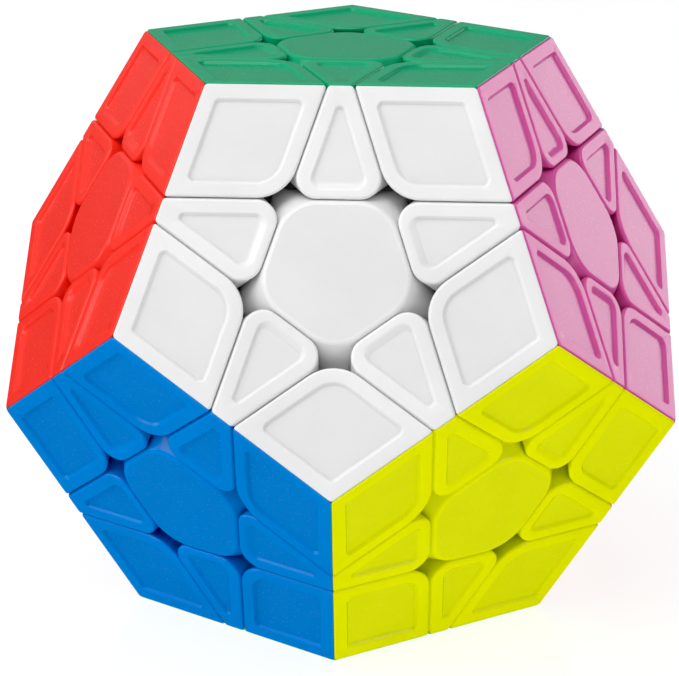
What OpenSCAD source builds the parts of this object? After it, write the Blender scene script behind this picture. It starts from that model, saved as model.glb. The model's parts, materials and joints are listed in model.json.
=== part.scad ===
// A twelve-sided twisty puzzle: one turning layer on each face of a regular dodecahedron.
// Origin: the middle of the face it stands on. +Z is up and the white face looks along -Y.

/* [Body] */
// Distance from one face to the opposite face
face_to_face = 84; // [82:0.5:86]
// Share of the way from a face's middle to its side where the turning cuts cross it
cut_share = 0.366; // [0.36:0.002:0.376]
// Clearance between neighbouring pieces
gap = 0.2; // [0.15:0.05:0.3]

/* [Tiles] */
// Wall of the coloured shells
wall = 1.6; // [1.2:0.1:1.8]
// Width of the raised rim around a corner tile's panel
rim = 2.5; // [2:0.1:2.8]
// Width of the raised rim around an edge tile's panel
edge_rim = 2; // [1.8:0.1:2.4]
// Depth of a tile's panel below its rim
panel_depth = 0.6; // [0.3:0.1:0.8]
// Rounding of a corner tile's inner tip
corner_tip_r = 6.2; // [4:0.2:8]
// Rounding of an edge tile's inner corners
edge_tip_r = 2.8; // [2:0.2:3.4]
// Rounding of a centre cap's corners
cap_corner_r = 6; // [5:0.5:8]
// Lean of those roundings round a cap, which fills the corners out with depth
tip_lean = 8; // [0:1:10]

/* [Mechanism] */
// Radius where the feet end and the outer bodies begin
foot_r = 37; // [36.5:0.1:37.5]
// Radius where the dark necks end and the coloured shells begin
shell_r = 39.4; // [39:0.1:40]
// Radius of the hollow inside the feet
hollow_r = 30.5; // [30:0.1:30.8]
// Half angle of the cone that bounds a layer's feet
foot_angle = 46; // [45:0.5:47]
// Radius of the core's hub
hub_r = 13; // [12:0.5:14]
// Radius of a core post
post_r = 4.2; // [3.8:0.1:4.4]
// Radius of a screw's shank
screw_r = 1.5; // [1.3:0.1:1.6]
// Travel of a centre against its spring
lift = 0.4; // [0.2:0.1:0.5]

/* [Hidden] */
$fn = 96;
slack = 0.05;                                     // half of the play between fixed neighbours
far = 120;                                        // larger than the whole puzzle
tilt = atan(2);                                   // angle between neighbouring faces' normals
rho = face_to_face / 2;
side_x = rho * tan(tilt / 2);                     // face's middle to its side
cut_d = sin(tilt) * cut_share * side_x + cos(tilt) * rho;   // puzzle's middle to a cutting plane

// Heights along a face's axis, from the puzzle's middle
post_top = hollow_r - 0.8;
base_floor = hollow_r + 1.8;
washer_z = base_floor + 4.8;
head_z = washer_z + 0.6;
head_top = head_z + 1.6;
sleeve_top = rho - wall - 0.6;
screw_tip = 17;

// Radii around a face's axis
spring_r = 3.1;
washer_r = 3.2;
head_r = 2.8;
bore_r = 3.5;
sleeve_r = 5.2;

// Plugs that hold the coloured shells on their feet
corner_plug = [3.3, foot_r + 1, 47];              // radius, both ends
edge_plug = [7, 3.6, 45];                         // across, along, outer end
edge_neck_r = 5.6;

// Pockets that lighten the feet from inside
pocket_top = foot_r - 2;
corner_pocket_r = 3;
edge_pocket = [11.6, 10];                         // across, along
corner_lean = acos(1 / (sqrt(3) * tan(36)));      // from a corner's axis to each of its faces' normals

// Each face: colour's name, colour, polar angle, azimuth and spin of its frame
FACES = [
    ["green", "#0a9a62", 0, -90, 0],
    ["white", "#f2f2f0", tilt, -90, 180],
    ["pink", "#e080b8", tilt, -18, 180],
    ["sky", "#7fc8f0", tilt, 54, 180],
    ["cream", "#f3e8b4", tilt, 126, 180],
    ["red", "#f5352c", tilt, 198, 180],
    ["yellow", "#dfe600", 180 - tilt, -54, 0],
    ["orange", "#ff8a1e", 180 - tilt, 18, 0],
    ["grey", "#9a9da0", 180 - tilt, 90, 0],
    ["purple", "#6a3fa0", 180 - tilt, 162, 0],
    ["blue", "#0a80d4", 180 - tilt, 234, 0],
    ["lime", "#7ccf2e", 180, 126, 0],
];
INNER = "#2b2c2e";

// Faces whose layer turns, no two of them side by side
LAYERS = [1, 3, 9];
FIXED = -1;
STILL_FACES = [for (f = [0:11]) if (len(search(f, LAYERS)) == 0) f];

function name(f) = FACES[f][0];
function about_z(v, a) = [v.x * cos(a) - v.y * sin(a), v.x * sin(a) + v.y * cos(a), v.z];
function about_y(v, a) = [v.x * cos(a) + v.z * sin(a), v.y, v.z * cos(a) - v.x * sin(a)];
function world(f, v) = about_z(about_y(about_z(v, FACES[f][4]), FACES[f][2]), FACES[f][3]);
function normal(f) = world(f, [0, 0, 1]);

// The face across side j of face f
function across(f, j) =
    let (n = world(f, [sin(tilt) * cos(72 * j), sin(tilt) * sin(72 * j), cos(tilt)]))
    [for (g = [0:11]) if (normal(g) * n > 0.99) g][0];

// The turning layer that holds a piece touching these faces
function layer_of(faces) =
    let (found = [for (f = faces) for (l = LAYERS) if (f == l) l])
    len(found) > 0 ? found[0] : FIXED;
function edge_layer(f, j) = layer_of([f, across(f, j)]);
function corner_layer(f, j) = layer_of([f, across(f, j), across(f, j + 1)]);

// ---- Frames ----

// Face f's frame: +Z is outward, +X points to the face across side 0
module on_face(f) {
    translate([0, 0, rho]) rotate([0, FACES[f][2], FACES[f][3]]) rotate([0, 0, FACES[f][4]]) children();
}
module to_side(j) { rotate([0, 0, 72 * j]) children(); }
module to_corner(j) { rotate([0, 0, 72 * j + 36]) children(); }

// The frame whose +Z is the neighbour's axis, for a neighbour at this angle in the face
module neighbour(angle) { rotate([0, tilt, angle]) children(); }

// The line where the cuts at +36 and -36 degrees cross, as the +Z axis
module crossing(left, right) {
    a = (cut_d + left - cos(tilt) * rho) / sin(tilt);
    b = (cut_d + right - cos(tilt) * rho) / sin(tilt);
    translate([(a + b) / (2 * cos(36)), (a - b) / (2 * sin(36)), rho]) rotate([0, -tilt / 2, 0]) children();
}

// ---- Cutting shapes ----

// Everything on the puzzle's side of a neighbour's cut, or beyond it
module under_cut(angle, offset) {
    neighbour(angle) translate([-far / 2, -far / 2, cut_d + offset - far]) cube(far);
}
module over_cut(angle, offset) {
    neighbour(angle) translate([-far / 2, -far / 2, cut_d + offset]) cube(far);
}

// Everything on a neighbour's side of the edge between the two faces
module neighbour_half(angle) {
    rotate([0, tilt / 2, angle]) translate([-slack, -far / 2, 0]) cube(far);
}

// A layer's cone around +Z between the hub and past the feet, widened or narrowed by this much
module foot_cone(grow) {
    low = hollow_r / 2;
    high = foot_r + 6;
    translate([0, 0, low - grow / sin(foot_angle)])
        cylinder(h = high - low, r1 = low * tan(foot_angle), r2 = high * tan(foot_angle));
}

// What to take off a wedge along +Z, open towards +X, to round its edge
module rounding(r, half_angle) { linear_extrude(far / 2, center = true) arc_waste(r, half_angle); }

// A corner piece's three cuts, an edge piece's four and a centre's five, as what lies outside them
module outside_corner(inset) {
    for (s = [-36, 36]) under_cut(s, gap / 2 + inset);
    if (inset == 0) crossing(gap / 2, gap / 2) rotate([0, tip_lean, 0]) rounding(corner_tip_r, 90 - tilt / 2);
}
module outside_edge(inset) {
    under_cut(0, gap / 2 + inset);
    for (s = [-72, 72]) over_cut(s, -gap / 2 - inset);
    if (inset == 0) {
        rotate([0, 0, 36]) crossing(-gap / 2, gap / 2) rotate([0, 0, -90]) rounding(edge_tip_r, tilt / 2);
        rotate([0, 0, -36]) crossing(gap / 2, -gap / 2) rotate([0, 0, 90]) rounding(edge_tip_r, tilt / 2);
    }
}
module outside_centre(inset) {
    for (j = [0:4]) over_cut(72 * j, -gap / 2 - inset);
    if (inset == 0)
        for (j = [0:4]) to_corner(j) crossing(-gap / 2, -gap / 2) rotate([0, tip_lean, 180])
            rounding(cap_corner_r, 90 - tilt / 2);
}

// ---- Outlines ----

function unit(v) = v / norm(v);

// A polygon with a true arc at each corner that has a radius
module rounded(points, radii) {
    n = len(points);
    difference() {
        polygon(points);
        for (i = [0:n - 1]) {
            u = unit(points[(i + n - 1) % n] - points[i]);
            v = unit(points[(i + 1) % n] - points[i]);
            half_angle = acos(u * v) / 2;
            m = unit(u + v);
            translate(points[i]) rotate(atan2(m.y, m.x)) arc_waste(radii[i], half_angle);
        }
    }
}

// What to take off a wedge from the origin, open towards +X, to round its corner.
// The arc crosses each side at a slight angle, just short of touching it along a line.
module arc_waste(r, half_angle) {
    c = 0.99 * r / sin(half_angle);
    reach = 1.3 * r;
    difference() {
        polygon([
            [c, 0],
            [c - reach * sin(half_angle), reach * cos(half_angle)],
            [-0.4 * r, 0],
            [c - reach * sin(half_angle), -reach * cos(half_angle)],
        ]);
        translate([c, 0]) circle(r);
    }
}

// A point of a corner tile, from its distances towards the two sides beside it
function kite_point(a, b) = [(a + b) / (2 * cos(36)), (a - b) / (2 * sin(36))];
function cut_x(offset) = (cut_d + offset - cos(tilt) * rho) / sin(tilt);

module corner_panel() {
    low = cut_x(gap / 2) + rim;
    high = side_x - rim;
    rounded(
        [kite_point(low, low), kite_point(high, low), kite_point(high, high), kite_point(low, high)],
        [corner_tip_r * 0.85 - rim, 0.7, 0.5, 0.7]
    );
}
module edge_panel() {
    low = cut_x(gap / 2) + edge_rim;
    reach = cut_x(-gap / 2) - edge_rim;
    y = (reach - low * cos(72)) / sin(72);
    rounded([[reach / cos(72), 0], [low, y], [low, -y]], [0.6, 1.2, 1.2]);
}

// ---- Coloured shells ----

// One third of a corner piece, on the face whose vertex lies towards +X
module corner_tile() {
    difference() {
        translate([8, -18, shell_r * 0.6]) cube([26, 36, rho - shell_r * 0.6]);
        outside_corner(0);
        for (s = [-36, 36]) neighbour_half(s);
        sphere(shell_r + slack);
        difference() {
            translate([7, -17, shell_r * 0.5]) cube([29, 34, rho - wall - shell_r * 0.5]);
            outside_corner(wall);
        }
        translate([0, 0, rho - panel_depth]) linear_extrude(wall) corner_panel();
    }
}

// One half of an edge piece, on the face whose side lies towards +X
module edge_tile() {
    difference() {
        translate([8, -12, shell_r * 0.6]) cube([20, 24, rho - shell_r * 0.6]);
        outside_edge(0);
        neighbour_half(0);
        sphere(shell_r + slack);
        difference() {
            translate([7, -11, shell_r * 0.5]) cube([24, 22, rho - wall - shell_r * 0.5]);
            outside_edge(wall);
        }
        translate([0, 0, rho - panel_depth]) linear_extrude(wall) edge_panel();
    }
}

// A centre's cap with its sloping skirt and the socket that grips the base's sleeve
module centre_cap() {
    inside = rho - wall;
    difference() {
        translate([-20, -20, shell_r * 0.7]) cube([40, 40, rho - shell_r * 0.7]);
        outside_centre(0);
        sphere(foot_r + gap / 2);
        difference() {
            translate([-19, -19, shell_r * 0.6]) cube([38, 38, inside - shell_r * 0.6]);
            outside_centre(wall);
            translate([0, 0, foot_r * 0.8]) difference() {
                cylinder(h = far, r = sleeve_r + slack + 1.4);
                translate([0, 0, -1]) cylinder(h = far + 2, r = sleeve_r + slack);
            }
        }
    }
}

// ---- Dark inner pieces ----

// The ball of feet inside a layer's cone
module inside_cone(angle) { rotate([0, angle, 0]) foot_cone(-gap / 2); }

// A corner's foot, stem and plug; +Z is the corner's axis
module corner_foot() {
    difference() {
        union() {
            intersection() {
                sphere(foot_r - gap / 2);
                inside_cone(corner_lean);
                rotate([0, 0, 120]) inside_cone(corner_lean);
                rotate([0, 0, 240]) inside_cone(corner_lean);
            }
            difference() {
                translate([-10, -10, foot_r * 0.8]) cube([20, 20, shell_r]);
                for (k = [0:2]) rotate([0, corner_lean, 120 * k])
                    translate([-far / 2, -far / 2, cut_d + gap / 2 - far]) cube(far);
                difference() {
                    sphere(far);
                    sphere(shell_r - slack);
                }
            }
            translate([0, 0, corner_plug[1]]) cylinder(h = corner_plug[2] - corner_plug[1], r = corner_plug[0]);
        }
        sphere(hollow_r);
        cylinder(h = pocket_top, r = corner_pocket_r);
    }
}

// An edge's foot, neck and plug; +Z is the edge's axis and its two faces lie along X
module edge_foot() {
    difference() {
        union() {
            difference() {
                intersection() {
                    sphere(foot_r - gap / 2);
                    inside_cone(tilt / 2);
                    inside_cone(-tilt / 2);
                }
                for (s = [-1, 1]) rotate([s * (90 - tilt / 2), 0, 0]) foot_cone(gap / 2);
            }
            difference() {
                intersection() {
                    translate([-12, -16, foot_r * 0.7]) cube([24, 32, shell_r]);
                    sphere(shell_r - slack);
                }
                for (s = [-1, 1]) rotate([0, s * tilt / 2, 0])
                    translate([-far / 2, -far / 2, cut_d + gap / 2 - far]) cube(far);
                for (s = [-1, 1]) rotate([s * (90 - tilt / 2), 0, 0])
                    translate([-far / 2, -far / 2, cut_d - gap / 2]) cube(far);
                sphere(foot_r + gap / 2);
            }
            translate([0, 0, foot_r - 3]) cylinder(h = 5, r = edge_neck_r);
            translate([-edge_plug[0] / 2, -edge_plug[1] / 2, foot_r])
                cube([edge_plug[0], edge_plug[1], edge_plug[2] - foot_r]);
        }
        sphere(hollow_r);
        translate([-edge_pocket[0] / 2, -edge_pocket[1] / 2, 0]) cube([edge_pocket[0], edge_pocket[1], pocket_top]);
    }
}

// A centre's base, with the sleeve that holds its spring; +Z is the face's axis
module centre_base() {
    difference() {
        union() {
            intersection() {
                sphere(foot_r - gap / 2);
                translate([0, 0, hollow_r * 0.7]) cylinder(h = far, r = 15);
            }
            translate([0, 0, base_floor]) cylinder(h = sleeve_top - base_floor, r = sleeve_r);
        }
        for (j = [0:4]) neighbour(72 * j) foot_cone(gap / 2);
        sphere(hollow_r);
        cylinder(h = far, r = screw_r + 0.3);
        translate([0, 0, base_floor]) cylinder(h = far, r = bore_r);
    }
}

// A spring as the plain tube that its coil fills, short of its seat by a centre's travel
module spring() {
    translate([0, 0, base_floor + lift + slack]) difference() {
        cylinder(h = washer_z - base_floor - lift - slack, r = spring_r);
        translate([0, 0, -1]) cylinder(h = far, r = screw_r + 0.7);
    }
}
module washer() {
    translate([0, 0, washer_z]) difference() {
        cylinder(h = head_z - washer_z, r = washer_r);
        translate([0, 0, -1]) cylinder(h = 3, r = screw_r + 0.1);
    }
}
module screw() {
    difference() {
        union() {
            translate([0, 0, screw_tip]) cylinder(h = head_z - screw_tip, r = screw_r);
            translate([0, 0, head_z]) cylinder(h = head_top - head_z, r = head_r);
        }
        for (a = [0, 90]) rotate([0, 0, a]) translate([-1.7, -0.35, head_top - 1.1]) cube([3.4, 0.7, 2]);
    }
}

// Half of the core: half of the hub's ball and six posts
module core_half(faces, up) {
    difference() {
        union() {
            translate([0, 0, rho]) difference() {
                sphere(hub_r);
                sphere(hub_r - 2.4);
                translate([-far / 2, -far / 2, up ? slack - far : -slack]) cube(far);
            }
            for (f = faces) on_face(f) translate([0, 0, hub_r - 2]) cylinder(h = post_top - hub_r + 2, r = post_r);
        }
        for (f = faces) on_face(f) translate([0, 0, screw_tip - 1]) cylinder(h = far, r = screw_r + slack);
    }
}

// ---- Pieces in place ----

// The colour of face f's tiles that one layer holds: which edges and corners is a list of sides
module tiles(f, edges, corners) {
    color(FACES[f][1]) on_face(f) {
        for (j = edges) to_side(j) edge_tile();
        for (j = corners) to_corner(j) corner_tile();
    }
}
function held_edges(f, layer) = [for (j = [0:4]) if (edge_layer(f, j) == layer) j];
function held_corners(f, layer) = [for (j = [0:4]) if (corner_layer(f, j) == layer) j];

// Each edge is seen from two faces and each corner from three, so only the lowest face's view counts
module edge_feet(layer) {
    color(INNER) for (f = [0:11], j = held_edges(f, layer))
        if (f < across(f, j)) on_face(f) to_side(j) rotate([0, tilt / 2, 0]) edge_foot();
}
module corner_feet(layer) {
    color(INNER) for (f = [0:11], j = held_corners(f, layer))
        if (f < min(across(f, j), across(f, j + 1)))
            on_face(f) to_corner(j) rotate([0, corner_lean, 0]) rotate([0, 0, 180]) corner_foot();
}
module centre_bases(faces) { color(INNER) for (f = faces) on_face(f) centre_base(); }
module cap(f) { color(FACES[f][1]) on_face(f) centre_cap(); }

module screws() { color("silver") for (f = [0:11]) on_face(f) screw(); }
module washers() { color("silver") for (f = [0:11]) on_face(f) washer(); }
module springs() { color("lightgrey") for (f = [0:11]) on_face(f) spring(); }
module core_upper_half() { color(INNER) core_half([0:5], true); }
module core_lower_half() { color(INNER) core_half([6:11], false); }

core_upper_half();
core_lower_half();
screws();
washers();
springs();
for (f = [0:11])
    cap(f);

centre_bases(STILL_FACES);  // fixed_centre_bases
edge_feet(FIXED);  // fixed_edge_feet
corner_feet(FIXED);  // fixed_corner_feet
for (f = STILL_FACES)
    tiles(f, held_edges(f, FIXED), held_corners(f, FIXED));

for (l = LAYERS) {
    layer = str(name(l), "_layer_");
    centre_bases([l]);
    edge_feet(l);
    corner_feet(l);
    tiles(l, [0:4], []);
    tiles(l, [], [0:4]);
    for (j = [0:4]) {
        g = across(l, j);
        tiles(g, held_edges(g, l), held_corners(g, l));
    }
}
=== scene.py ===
"""Looks of a twelve-face twisty puzzle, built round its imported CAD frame.

Each face has its own frame: +Z is outward and +X points to the neighbour across side 0. A tile is made once
in that frame as a loft of rounded outlines, then copied to every place that a CAD node of its colour holds.
Sizes are in millimetres until a mesh is made.
"""
import json
import math

import bmesh
import bpy
from mathutils import Matrix, Vector

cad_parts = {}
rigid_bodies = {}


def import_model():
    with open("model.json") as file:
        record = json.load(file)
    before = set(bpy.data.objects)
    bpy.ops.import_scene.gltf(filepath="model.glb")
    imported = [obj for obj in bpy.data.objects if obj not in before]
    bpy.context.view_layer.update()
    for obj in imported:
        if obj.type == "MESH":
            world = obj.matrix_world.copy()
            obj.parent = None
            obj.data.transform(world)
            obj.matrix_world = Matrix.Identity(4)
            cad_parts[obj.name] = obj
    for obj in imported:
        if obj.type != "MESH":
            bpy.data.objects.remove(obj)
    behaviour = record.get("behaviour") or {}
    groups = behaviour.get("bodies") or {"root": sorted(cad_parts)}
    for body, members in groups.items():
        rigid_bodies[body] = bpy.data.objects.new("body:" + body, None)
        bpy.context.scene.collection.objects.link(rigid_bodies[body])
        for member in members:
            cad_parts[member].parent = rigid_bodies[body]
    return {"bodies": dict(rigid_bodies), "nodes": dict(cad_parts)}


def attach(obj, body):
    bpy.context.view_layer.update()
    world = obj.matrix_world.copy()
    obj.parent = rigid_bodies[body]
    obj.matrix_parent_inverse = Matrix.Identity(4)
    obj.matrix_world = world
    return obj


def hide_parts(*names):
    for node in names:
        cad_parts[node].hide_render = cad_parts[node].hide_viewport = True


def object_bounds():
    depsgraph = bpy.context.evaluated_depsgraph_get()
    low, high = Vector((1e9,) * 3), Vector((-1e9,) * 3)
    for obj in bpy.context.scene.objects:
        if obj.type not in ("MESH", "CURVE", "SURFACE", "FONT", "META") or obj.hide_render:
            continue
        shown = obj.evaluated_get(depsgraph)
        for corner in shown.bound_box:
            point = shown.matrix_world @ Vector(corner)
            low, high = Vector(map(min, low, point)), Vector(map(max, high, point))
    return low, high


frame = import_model()
CAD_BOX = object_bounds()

# ---- Driving sizes, as the frame has them ----

MM = 0.001
RHO = (CAD_BOX[1][2] - CAD_BOX[0][2]) / 2 / MM     # the puzzle's middle to a face
TILT = math.atan(2)                                # between neighbouring faces' normals
SIDE_X = RHO * math.tan(TILT / 2)                  # a face's middle to its side
CUT_SHARE = 0.366                                  # how far out the turning cuts cross a face
CUT_D = math.sin(TILT) * CUT_SHARE * SIDE_X + math.cos(TILT) * RHO
GAP = 0.12                                         # between pieces that turn past each other
SEAM = 0.005                                       # half the seam between the shells of one piece
SHELL_R = 39.45                                    # where a tile's shell ends at its corners, above the feet
CAP_R = 38.15                                      # the same for a cap's skirt, whose sides dip to 37.1
TURN = math.radians(72)                            # from one side of a face to the next
HALF = TURN / 2

# ---- Faces ----

DEG = math.degrees(TILT)
UPPER = ("white", "pink", "sky", "cream", "red")
LOWER = ("yellow", "orange", "grey", "purple", "blue")
FACES = (                                          # colour, polar angle, azimuth and spin of the face's frame
    [("green", 0, -90, 0)]
    + [(colour, DEG, -90 + 72 * k, 180) for k, colour in enumerate(UPPER)]
    + [(colour, 180 - DEG, -54 + 72 * k, 0) for k, colour in enumerate(LOWER)]
    + [("lime", 180, 126, 0)]
)
NAMES = [face[0] for face in FACES]
LAYERS = [NAMES.index(body[:-6]) for body in frame["bodies"] if body.endswith("_layer")]


def about(axis, degrees):
    return Matrix.Rotation(math.radians(degrees), 4, axis)


def face_matrix(f):
    """Face f's frame, about the puzzle's middle, in metres."""
    _, polar, azimuth, spin = FACES[f]
    return Matrix.Translation((0, 0, RHO * MM)) @ about("Z", azimuth) @ about("Y", polar) @ about("Z", spin)


def normal(f):
    return face_matrix(f).to_3x3() @ Vector((0, 0, 1))


def across(f, j):
    """The face across side j of face f."""
    out = Vector((math.sin(TILT) * math.cos(TURN * j), math.sin(TILT) * math.sin(TURN * j), math.cos(TILT)))
    out = face_matrix(f).to_3x3() @ out
    return max(range(12), key=lambda g: normal(g).dot(out))


def layer_of(*faces):
    """The turning layer that holds a piece touching these faces, or None."""
    return next((f for f in faces if f in LAYERS), None)


# ---- Outlines ----

STEPS = 8                                          # points on each rounded corner
OWN_SLOPE = -math.tan(TILT / 2)                    # a seam side draws in with depth
CUT_SLOPE = 0.5                                    # a cut moves outward with depth: tan(90 - TILT)


def smooth_step(t):
    return t * t * (3 - 2 * t)


def cut_x(offset):
    """How far from a face's middle a neighbour's cut crosses it, moved along the cut's axis by offset."""
    return (CUT_D + offset - math.cos(TILT) * RHO) / math.sin(TILT)


class Side:
    """A straight side of a tile: its outward angle, its distance, what that gains for each millimetre of
    depth, the fillet along its top edge and the wall behind it."""

    def __init__(self, angle, distance, slope, fillet, thick):
        self.angle = angle
        self.distance = distance
        self.slope = slope
        self.fillet = fillet
        self.thick = thick

    def wall(self, depth, inset=0.0):
        return self.distance + self.slope * depth - inset, depth

    def rounded(self, share):
        """A point of the fillet, from the wall at share 0 to the flat top at share 1."""
        middle = self.fillet * (math.hypot(1, self.slope) - self.slope)
        start = math.atan2(self.slope, 1)
        turn = start + share * (math.pi / 2 - start)
        out = self.distance - middle + self.fillet * math.cos(turn)
        return out, self.fillet - self.fillet * math.sin(turn)


def ring(sides, levels, radii):
    """A closed outline: each side has its (distance, depth), and each corner after a side has its radius."""
    points = []
    for i, side in enumerate(sides):
        k = (i + 1) % len(sides)
        a = side.angle
        b = a + (sides[k].angle - a) % math.tau
        (reach_a, depth_a), (reach_b, depth_b) = levels[i], levels[k]
        r = radii[i]
        det = math.sin(b - a)
        x = ((reach_a - r) * math.sin(b) - (reach_b - r) * math.sin(a)) / det
        y = ((reach_b - r) * math.cos(a) - (reach_a - r) * math.cos(b)) / det
        for step in range(STEPS + 1):
            t = step / STEPS
            angle = a + t * (b - a)
            depth = depth_a + (depth_b - depth_a) * smooth_step(t)
            points.append(Vector((x + r * math.cos(angle), y + r * math.sin(angle), RHO - depth)))
    return points


def wall_ring(sides, radii, sphere, inner=False):
    """The outline where the walls' outer or inner faces meet a sphere about the puzzle's middle."""
    insets = [side.thick if inner else 0.0 for side in sides]
    top = ring(sides, [s.wall(0, inset) for s, inset in zip(sides, insets)], radii)
    lower = ring(sides, [s.wall(1, inset) for s, inset in zip(sides, insets)], radii)
    points = []
    for p, q in zip(top, lower):
        d = q - p
        a, b, c = d.dot(d), 2 * p.dot(d), p.dot(p) - sphere * sphere
        points.append(p + d * (-b - math.sqrt(b * b - 4 * a * c)) / (2 * a))
    return points


# ---- Tiles ----

WALL = 1.6
WEB = 0.6                                          # wall where two shells of one piece meet
CEILING = 1.75                                     # depth of a shell's inside below its face
LEAST_R = 0.3                                      # the smallest corner radius of an outline moved inward

GAP_FILLET = 0.42                                  # along the cuts
EDGE_FILLET = 0.2                                  # along the dodecahedron's own edges
CAP_FILLET = 0.8
FILLET_STEPS = 5

# Corner radii, the second of a pair at the foot of the walls
VERTEX_R = 0.8                                     # at the dodecahedron's own vertex
SEAM_END_R = 0.5                                   # where a corner tile's seam meets a cut
EDGE_END_R = 0.45                                  # and an edge tile's
CORNER_TIP_R = (6.2, 3.6)
EDGE_TIP_R = 2.9
CAP_CORNER_R = (5.8, 0.8)

# Recesses, each pair at the start on the rim and at the panel
PANEL_DEPTH = 0.5
PANEL_STEPS = 8
PANEL_FROM = PANEL_STEPS - 2                       # the slope's step where the panel's finish begins
RIM = (2.1, 2.7)                                   # in from a corner tile's edge
RIM_R = ([1.1, 1.15, 4.2, 1.15], [0.4, 0.45, 3.5, 0.45])
EDGE_RIM = (1.7, 2.25)                             # in from an edge tile's cuts
EDGE_CAP_RIM = (1.3, 2.75)                         # and from its side next to the cap
EDGE_RIM_R = (1.7, 0.7)
EDGE_POINT = (2.0, 0.74)                           # what rounding takes off its point


def shrink(radii, insets):
    """Corner radii of an outline moved inward."""
    count = len(radii)
    moved = [(insets[i] + insets[(i + 1) % count]) / 2 for i in range(count)]
    return [max(r - m, LEAST_R) for r, m in zip(radii, moved)]


SHARP = math.radians(32)                           # edges that turn by more than this stay crisp


def loft(name, rings, panel_from):
    """A closed mesh through the rings. Faces from ring panel_from on take the second material."""
    bm = bmesh.new()
    rows = [[bm.verts.new(p * MM) for p in points] for points in rings]
    count = len(rows[0])
    for k in range(len(rows) - 1):
        for i in range(count):
            j = (i + 1) % count
            quad = bm.faces.new((rows[k][i], rows[k][j], rows[k + 1][j], rows[k + 1][i]))
            quad.material_index = int(k >= panel_from)
    bm.faces.new(rows[0][::-1])
    bm.faces.new(rows[-1]).material_index = int(len(rows) > panel_from)
    bmesh.ops.recalc_face_normals(bm, faces=bm.faces)
    for edge in bm.edges:
        edge.smooth = edge.calc_face_angle(0.0) < SHARP
    for face in bm.faces:
        face.smooth = True
    mesh = bpy.data.meshes.new(name)
    bm.to_mesh(mesh)
    bm.free()
    return mesh


def shell_rings(sides, radii, sphere, low_radii=None):
    """Cavity, bottom rim, walls and filleted top edge of a hollow shell."""
    low_radii = low_radii or radii
    thick = [side.thick for side in sides]
    rings = [
        ring(sides, [side.wall(CEILING, side.thick) for side in sides], shrink(radii, thick)),
        wall_ring(sides, shrink(low_radii, thick), sphere, inner=True),
        wall_ring(sides, low_radii, sphere),
    ]
    for k in range(FILLET_STEPS + 1):
        levels = [side.rounded(k / FILLET_STEPS) for side in sides]
        insets = [side.distance - reach for side, (reach, _) in zip(sides, levels)]
        rings.append(ring(sides, levels, shrink(radii, [max(inset, 0) for inset in insets])))
    return rings


def recess_rings(sides, start, end, start_radii, end_radii):
    """The soft slope of a recess, from its start on the rim to its end at the panel: distances and radii."""
    rings = []
    for k in range(PANEL_STEPS + 1):
        t = k / PANEL_STEPS
        depth = PANEL_DEPTH * smooth_step(t)
        levels = [(a + (b - a) * t, depth) for a, b in zip(start, end)]
        radii = [a + (b - a) * t for a, b in zip(start_radii, end_radii)]
        rings.append(ring(sides, levels, radii))
    return rings


def corner_mesh():
    """One third of a corner piece, on the face whose vertex lies towards +X."""
    own = SIDE_X - SEAM / math.cos(TILT / 2)
    cut = -cut_x(GAP / 2)
    sides = [
        Side(-HALF, own, OWN_SLOPE, EDGE_FILLET, WEB),
        Side(HALF, own, OWN_SLOPE, EDGE_FILLET, WEB),
        Side(math.pi - HALF, cut, -CUT_SLOPE, GAP_FILLET, WALL),
        Side(math.pi + HALF, cut, -CUT_SLOPE, GAP_FILLET, WALL),
    ]
    radii, low_radii = ([VERTEX_R, SEAM_END_R, tip_r, SEAM_END_R] for tip_r in CORNER_TIP_R)
    rings = shell_rings(sides, radii, SHELL_R, low_radii)
    panel_from = len(rings) + PANEL_FROM
    start, end = ([side.distance - rim for side in sides] for rim in RIM)
    rings += recess_rings(sides, start, end, *RIM_R)
    return loft("corner_tile", rings, panel_from)


def edge_mesh():
    """One half of an edge piece, on the face whose side lies towards +X."""
    own = SIDE_X - SEAM / math.cos(TILT / 2)
    sides = [
        Side(0, own, OWN_SLOPE, EDGE_FILLET, WEB),
        Side(TURN, cut_x(-GAP / 2), CUT_SLOPE, GAP_FILLET, WALL),
        Side(math.pi, -cut_x(GAP / 2), -CUT_SLOPE, GAP_FILLET, WALL),
        Side(-TURN, cut_x(-GAP / 2), CUT_SLOPE, GAP_FILLET, WALL),
    ]
    rings = shell_rings(sides, [EDGE_END_R, EDGE_TIP_R, EDGE_TIP_R, EDGE_END_R], SHELL_R)
    panel_from = len(rings) + PANEL_FROM
    distances = []
    radii = []
    for rim, cap_rim, r, point in zip(EDGE_RIM, EDGE_CAP_RIM, EDGE_RIM_R, EDGE_POINT):
        reach = sides[1].distance - rim
        point_r = point * math.tan(HALF / 2) / math.tan(HALF)
        distances.append([reach / math.cos(TURN) - point, reach, sides[2].distance - cap_rim, reach])
        radii.append([point_r, r, r, point_r])
    rings += recess_rings(sides, *distances, *radii)
    return loft("edge_tile", rings, panel_from)


def cap_mesh():
    """A centre's cap: a rounded pentagon with a flat top and a skirt that widens with depth."""
    sides = [Side(TURN * j, cut_x(-GAP / 2), CUT_SLOPE, CAP_FILLET, WALL) for j in range(5)]
    radii, low_radii = ([r] * 5 for r in CAP_CORNER_R)
    rings = shell_rings(sides, radii, CAP_R, low_radii)
    return loft("centre_cap", rings, len(rings) - 1)


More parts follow.
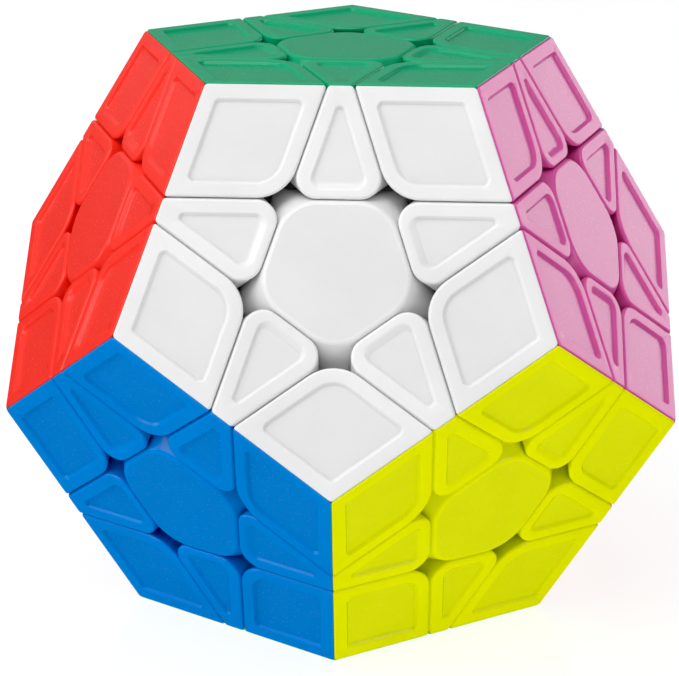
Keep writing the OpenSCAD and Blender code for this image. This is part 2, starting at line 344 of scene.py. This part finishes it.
def tube_mesh(name, path, radius, sides):
    """A closed tube along a path of points, in millimetres."""
    bm = bmesh.new()
    rows = []
    for i, p in enumerate(path):
        ahead = (path[min(i + 1, len(path) - 1)] - path[max(i - 1, 0)]).normalized()
        out = Vector((p.x, p.y, 0)).normalized()
        up = ahead.cross(out)
        angles = [math.tau * k / sides for k in range(sides)]
        around = [p + radius * (math.cos(a) * out + math.sin(a) * up) for a in angles]
        rows.append([bm.verts.new(point * MM) for point in around])
    for low, high in zip(rows, rows[1:]):
        for i in range(sides):
            j = (i + 1) % sides
            bm.faces.new((low[i], low[j], high[j], high[i])).smooth = True
    bm.faces.new(rows[0][::-1])
    bm.faces.new(rows[-1])
    bmesh.ops.recalc_face_normals(bm, faces=bm.faces)
    mesh = bpy.data.meshes.new(name)
    bm.to_mesh(mesh)
    bm.free()
    return mesh


SPRING_LOW = 32.8                                  # from the puzzle's middle, along a face's axis
SPRING_HIGH = 37.05
WIRE_R = 0.36
COIL_R = 2.7
COILS = 5                                          # the first and last lie closed
COIL_STEPS = 24                                    # points on each
WIRE_SIDES = 10


def spring_mesh():
    """A compression spring with a closed turn at each end."""
    low = SPRING_LOW + WIRE_R
    rise = SPRING_HIGH - SPRING_LOW - 2 * WIRE_R
    closed = 2 * WIRE_R / rise
    path = []
    for i in range(COIL_STEPS * COILS + 1):
        turn = i / COIL_STEPS
        if turn < 1:
            height = closed * turn
        elif turn > COILS - 1:
            height = 1 - closed * (COILS - turn)
        else:
            height = closed + (1 - 2 * closed) * (turn - 1) / (COILS - 2)
        a = math.tau * turn
        path.append(Vector((COIL_R * math.cos(a), COIL_R * math.sin(a), low + rise * height)))
    return tube_mesh("spring", path, WIRE_R, WIRE_SIDES)


# ---- Materials ----

BLACK = (0, 0, 0)
GREY = (0.5, 0.5, 0.5)


def shader(name, roughness=0.3, **inputs):
    """A new Principled material, its tree and its shader, with values set on the shader's own sockets."""
    material = bpy.data.materials.new(name)
    material.use_nodes = True
    tree = material.node_tree
    principled = tree.nodes["Principled BSDF"]
    principled.inputs["Roughness"].default_value = roughness
    for key, value in inputs.items():
        principled.inputs[key.replace("_", " ")].default_value = value
    return material, tree, principled


def noise(tree, scale, detail=3.0):
    """Noise over the piece, scale times in a metre."""
    place = tree.nodes.new("ShaderNodeTexCoord")
    texture = tree.nodes.new("ShaderNodeTexNoise")
    texture.inputs["Scale"].default_value = scale
    texture.inputs["Detail"].default_value = detail
    tree.links.new(place.outputs["Object"], texture.inputs["Vector"])
    return texture.outputs["Fac"]


def spread(tree, value, low, high):
    """A noise's usual span, from 0.3 to 0.7, stretched to run from low to high."""
    node = tree.nodes.new("ShaderNodeMapRange")
    node.inputs["From Min"].default_value = 0.3
    node.inputs["From Max"].default_value = 0.7
    node.inputs["To Min"].default_value = low
    node.inputs["To Max"].default_value = high
    tree.links.new(value, node.inputs["Value"])
    return node.outputs["Result"]


def mottle(tree, value, first, second):
    """A colour that wanders between two colours."""
    ramp = tree.nodes.new("ShaderNodeValToRGB")
    ramp.color_ramp.elements[0].position = 0.35
    ramp.color_ramp.elements[0].color = (*first, 1)
    ramp.color_ramp.elements[1].position = 0.65
    ramp.color_ramp.elements[1].color = (*second, 1)
    tree.links.new(value, ramp.inputs["Fac"])
    return ramp.outputs["Color"]


def bump(tree, value, height, principled):
    """A bump whose height is in metres."""
    node = tree.nodes.new("ShaderNodeBump")
    node.inputs["Strength"].default_value = 1.0
    node.inputs["Distance"].default_value = height
    tree.links.new(value, node.inputs["Height"])
    tree.links.new(node.outputs["Normal"], principled.inputs["Normal"])


def toward(colour, other, share):
    return tuple(a + (b - a) * share for a, b in zip(colour, other))


# How light bleeds inside the coloured plastic, to 0.8 mm
BLEED = {"Subsurface_Weight": 0.5, "Subsurface_Radius": (1, 1, 1), "Subsurface_Scale": 0.0008}


def gloss_plastic(colour_name, colour):
    """A tile's moulded plastic: polished, with a faint flow mottle and a slight ripple."""
    material, tree, principled = shader(f"{colour_name}_gloss", IOR=1.5, Specular_IOR_Level=0.3, **BLEED)
    deeper = toward(colour, BLACK, 0.06)
    flow = mottle(tree, noise(tree, scale=60, detail=2), deeper, colour)
    polish = spread(tree, noise(tree, scale=900), low=0.16, high=0.26)
    tree.links.new(flow, principled.inputs["Base Color"])
    tree.links.new(polish, principled.inputs["Roughness"])
    bump(tree, noise(tree, scale=350, detail=2), 0.00001, principled)
    return material


def panel_plastic(colour_name, colour):
    """A tile's recessed panel: the same plastic with a fine, even grain, a little darker than the rim, paled
    a touch toward grey as a painted sheen.
    """
    material, tree, principled = shader(f"{colour_name}_panel", IOR=1.5, Specular_IOR_Level=0.42, **BLEED)
    # Painted sheen: the colour moves 0.6 % toward grey, which pales it as a reflection would; it is also 5.5
    # % darker than the rim's colour
    darker_with_painted_sheen = toward(toward(colour, GREY, 0.006), BLACK, 0.055)
    deeper = toward(darker_with_painted_sheen, BLACK, 0.03)
    flow = mottle(tree, noise(tree, scale=120, detail=4), deeper, darker_with_painted_sheen)
    polish = spread(tree, noise(tree, scale=4000), low=0.18, high=0.28)
    tree.links.new(flow, principled.inputs["Base Color"])
    tree.links.new(polish, principled.inputs["Roughness"])
    bump(tree, noise(tree, scale=9000, detail=2), 0.000002, principled)
    return material


def inner_plastic():
    """The dark, self-lubricating plastic of the feet and the core."""
    material, tree, principled = shader("inner_plastic", IOR=1.5)
    flow = mottle(tree, noise(tree, scale=200, detail=4), (0.09, 0.09, 0.095), (0.12, 0.12, 0.125))
    satin = spread(tree, noise(tree, scale=1500), low=0.34, high=0.52)
    tree.links.new(flow, principled.inputs["Base Color"])
    tree.links.new(satin, principled.inputs["Roughness"])
    bump(tree, noise(tree, scale=5000, detail=2), 0.00001, principled)
    return material


def steel(name, colour, grain):
    """Bright steel with fine drawn or turned marks."""
    material, tree, principled = shader(name, Metallic=1.0)
    darker = toward(colour, BLACK, 0.2)
    stains = mottle(tree, noise(tree, scale=700, detail=4), darker, colour)
    polish = spread(tree, noise(tree, scale=grain), low=0.2, high=0.38)
    tree.links.new(stains, principled.inputs["Base Color"])
    tree.links.new(polish, principled.inputs["Roughness"])
    bump(tree, noise(tree, scale=grain, detail=2), 0.000004, principled)
    return material


COLOURS = {
    "green": (0.0, 0.37, 0.17),
    "white": (0.815, 0.815, 0.815),
    "pink": (0.72, 0.11, 0.39),
    "sky": (0.16, 0.47, 0.78),
    "cream": (0.80, 0.70, 0.40),
    "red": (0.91, 0.042, 0.028),
    "yellow": (0.89, 0.94, 0.0),
    "orange": (0.92, 0.20, 0.004),
    "grey": (0.26, 0.27, 0.28),
    "purple": (0.12, 0.03, 0.32),
    "blue": (0.0, 0.235, 0.70),
    "lime": (0.16, 0.55, 0.015),
}

# ---- Pieces ----


def build(name, body, node, materials, copies):
    """One piece from copies of meshes, each (mesh, matrix), in place of a CAD node."""
    bm = bmesh.new()
    for mesh, matrix in copies:
        start = len(bm.verts)
        bm.from_mesh(mesh)
        bm.verts.ensure_lookup_table()
        bmesh.ops.transform(bm, matrix=matrix, verts=bm.verts[start:])
    mesh = bpy.data.meshes.new(name)
    bm.to_mesh(mesh)
    bm.free()
    for material in materials:
        mesh.materials.append(material)
    piece = bpy.data.objects.new(name, mesh)
    bpy.context.scene.collection.objects.link(piece)
    weighted = piece.modifiers.new("Weighted normals", "WEIGHTED_NORMAL")
    weighted.keep_sharp = True
    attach(piece, body)
    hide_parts(node)
    return piece


def body_of(layer):
    return "core" if layer is None else f"{NAMES[layer]}_layer"


def tile_node(f, layer, kind):
    """The CAD node that holds face f's tiles of this kind in a layer."""
    if layer is None:
        return f"{NAMES[f]}_fixed_tiles"
    if layer == f:
        return f"{NAMES[f]}_layer_{kind}_tiles"
    return f"{NAMES[layer]}_layer_{NAMES[f]}_tiles"


def place_tiles(corner, edge):
    """Where each CAD node of tiles has its copies: {node: (face, layer, copies)}."""
    places = {}
    for f in range(12):
        for j in range(5):
            edge_layer = layer_of(f, across(f, j))
            corner_layer = layer_of(f, across(f, j), across(f, j + 1))
            held = (("edge", edge, edge_layer, 72 * j), ("corner", corner, corner_layer, 72 * j + 36))
            for kind, mesh, layer, angle in held:
                node = tile_node(f, layer, kind)
                copies = places.setdefault(node, (f, layer, []))[2]
                copies.append((mesh, face_matrix(f) @ about("Z", angle)))
    return places


def coloured_shells():
    """Every cap and tile, in its colour's two finishes."""
    finish = {name: (gloss_plastic(name, c), panel_plastic(name, c)) for name, c in COLOURS.items()}
    cap = cap_mesh()
    for f, name in enumerate(NAMES):
        layer = layer_of(f)
        copies = [(cap, face_matrix(f))]
        build(f"{name}_cap_shell", body_of(layer), f"{name}_cap", finish[name], copies)
    for node, (f, layer, copies) in place_tiles(corner_mesh(), edge_mesh()).items():
        name = NAMES[f]
        build(f"{node}_shells", body_of(layer), node, finish[name], copies)


def inner_pieces():
    """The springs' real coils, and finishes for the CAD pieces that stay."""
    wire = steel("spring_wire", (0.62, 0.62, 0.64), 3000)
    coil = spring_mesh()
    copies = [(coil, face_matrix(f)) for f in range(12)]
    build("spring_coils", "core", "springs", [wire], copies)
    dark = inner_plastic()
    bright = steel("zinc_plate", (0.66, 0.66, 0.68), 1800)
    for name, node in frame["nodes"].items():
        if name in ("screws", "washers"):
            finish = bright
        elif name.startswith("core_") or name.endswith(("_feet", "_base", "_bases")):
            finish = dark
        else:
            continue
        node.data.materials.clear()
        node.data.materials.append(finish)


coloured_shells()
inner_pieces()

# ---- Studio: floor, light and camera ----

MIDDLE = Vector((0, 0, RHO * MM))


def direction(azimuth, elevation):
    a, e = math.radians(azimuth), math.radians(elevation)
    return Vector((math.cos(e) * math.cos(a), math.cos(e) * math.sin(a), math.sin(e)))


TABLE_SIZE = 12                                    # metres from its middle to a side
TABLE_DROP = 0.0002                                # below the puzzle's lowest face, so they don't fight


def floor():
    """A large white table with a faint polish, which lights the puzzle but doesn't mirror in it."""
    bm = bmesh.new()
    bmesh.ops.create_grid(bm, x_segments=1, y_segments=1, size=TABLE_SIZE)
    mesh = bpy.data.meshes.new("table")
    bm.to_mesh(mesh)
    bm.free()
    table = bpy.data.objects.new("table", mesh)
    bpy.context.scene.collection.objects.link(table)
    table.location.z = -TABLE_DROP
    table.visible_glossy = False
    material, tree, principled = shader("table_white", roughness=0.12, IOR=1.4)
    principled.inputs["Emission Color"].default_value = (1, 1, 1, 1)
    principled.inputs["Emission Strength"].default_value = 0.84
    paint = mottle(tree, noise(tree, scale=30), (0.2, 0.2, 0.2), (0.21, 0.21, 0.21))
    tree.links.new(paint, principled.inputs["Base Color"])
    mesh.materials.append(material)


def softbox(name, azimuth, elevation, distance, size, power, shines=True):
    """A square area light that faces the puzzle. One that doesn't shine leaves no reflection."""
    lamp = bpy.data.lights.new(name, "AREA")
    lamp.size = size
    lamp.energy = power
    light = bpy.data.objects.new(name, lamp)
    light.visible_glossy = shines
    bpy.context.scene.collection.objects.link(light)
    out = direction(azimuth, elevation)
    light.location = MIDDLE + out * distance
    light.rotation_mode = "QUATERNION"
    light.rotation_quaternion = out.to_track_quat("Z", "Y")


def surroundings(levels):
    """Soft light that changes with height, as (height from -1 to 1, brightness) pairs, in front of plain
    white for the camera."""
    world = bpy.data.worlds.new("studio")
    world.use_nodes = True
    tree = world.node_tree
    place = tree.nodes.new("ShaderNodeTexCoord")
    split = tree.nodes.new("ShaderNodeSeparateXYZ")
    height = tree.nodes.new("ShaderNodeMapRange")
    height.inputs["From Min"].default_value = -1
    ramp = tree.nodes.new("ShaderNodeValToRGB")
    stops = ramp.color_ramp.elements
    while len(stops) < len(levels):
        stops.new(0.5)
    for stop, (at, level) in zip(stops, levels):
        stop.position = (at + 1) / 2
        stop.color = (level, level, level, 1)
    tree.links.new(place.outputs["Generated"], split.inputs["Vector"])
    tree.links.new(split.outputs["Z"], height.inputs["Value"])
    tree.links.new(height.outputs["Result"], ramp.inputs["Fac"])
    backdrop = tree.nodes.new("ShaderNodeBackground")
    backdrop.inputs["Color"].default_value = (1, 1, 1, 1)
    seen = tree.nodes.new("ShaderNodeLightPath")
    choice = tree.nodes.new("ShaderNodeMixShader")
    tree.links.new(ramp.outputs["Color"], tree.nodes["Background"].inputs["Color"])
    tree.links.new(seen.outputs["Is Camera Ray"], choice.inputs["Fac"])
    tree.links.new(tree.nodes["Background"].outputs["Background"], choice.inputs[1])
    tree.links.new(backdrop.outputs["Background"], choice.inputs[2])
    tree.links.new(choice.outputs["Shader"], tree.nodes["World Output"].inputs["Surface"])
    bpy.context.scene.world = world


CAMERA_AZIMUTH = -88.4
CAMERA_ELEVATION = 17.35
CAMERA_ROLL = 0.56
CAMERA_DISTANCE = 0.422
LENS = 147.9                                       # millimetres, on a 36 mm sensor
SHIFT = (-0.0062, -0.0283)


def camera():
    back = direction(CAMERA_AZIMUTH, CAMERA_ELEVATION)
    right = Vector((0, 0, 1)).cross(back).normalized()
    lens = bpy.data.cameras.new("camera")
    lens.lens = LENS
    lens.sensor_width = 36
    lens.shift_x, lens.shift_y = SHIFT
    lens.clip_start = 0.01
    lens.clip_end = 50
    eye = bpy.data.objects.new("camera", lens)
    bpy.context.scene.collection.objects.link(eye)
    level = Matrix((right, back.cross(right), back)).transposed().to_4x4()
    eye.matrix_world = Matrix.Translation(MIDDLE + back * CAMERA_DISTANCE) @ level @ about("Z", CAMERA_ROLL)
    bpy.context.scene.camera = eye


DEEP_BLACK = 0.007                                 # brightness that the picture shows as black


def tone():
    """Plain tones with deep blacks, which keep the colours full."""
    view = bpy.context.scene.view_settings
    view.view_transform = "Standard"
    view.use_curve_mapping = True
    view.curve_mapping.black_level = (DEEP_BLACK, DEEP_BLACK, DEEP_BLACK)
    view.curve_mapping.update()


floor()
surroundings([(-1.0, 0.0), (-0.05, 0.0), (0.05, 0.1), (0.35, 0.12), (0.6, 0.35), (1.0, 0.5)])
softbox("key", azimuth=-145, elevation=38, distance=0.9, size=0.8, power=4.8)
softbox("top", azimuth=-100, elevation=66, distance=0.8, size=0.5, power=2.1)
softbox("far_right", azimuth=47, elevation=3, distance=0.9, size=0.44, power=1.26)
softbox("low_right", azimuth=-35, elevation=4, distance=0.9, size=0.4, power=1.3)
softbox("low_left", azimuth=168, elevation=12, distance=0.9, size=0.5, power=1.0)
softbox("rear", azimuth=115, elevation=35, distance=0.9, size=1.0, power=1.8, shines=False)
softbox("rear_sheen", azimuth=112, elevation=30, distance=0.9, size=0.9, power=0.3)
camera()
tone()
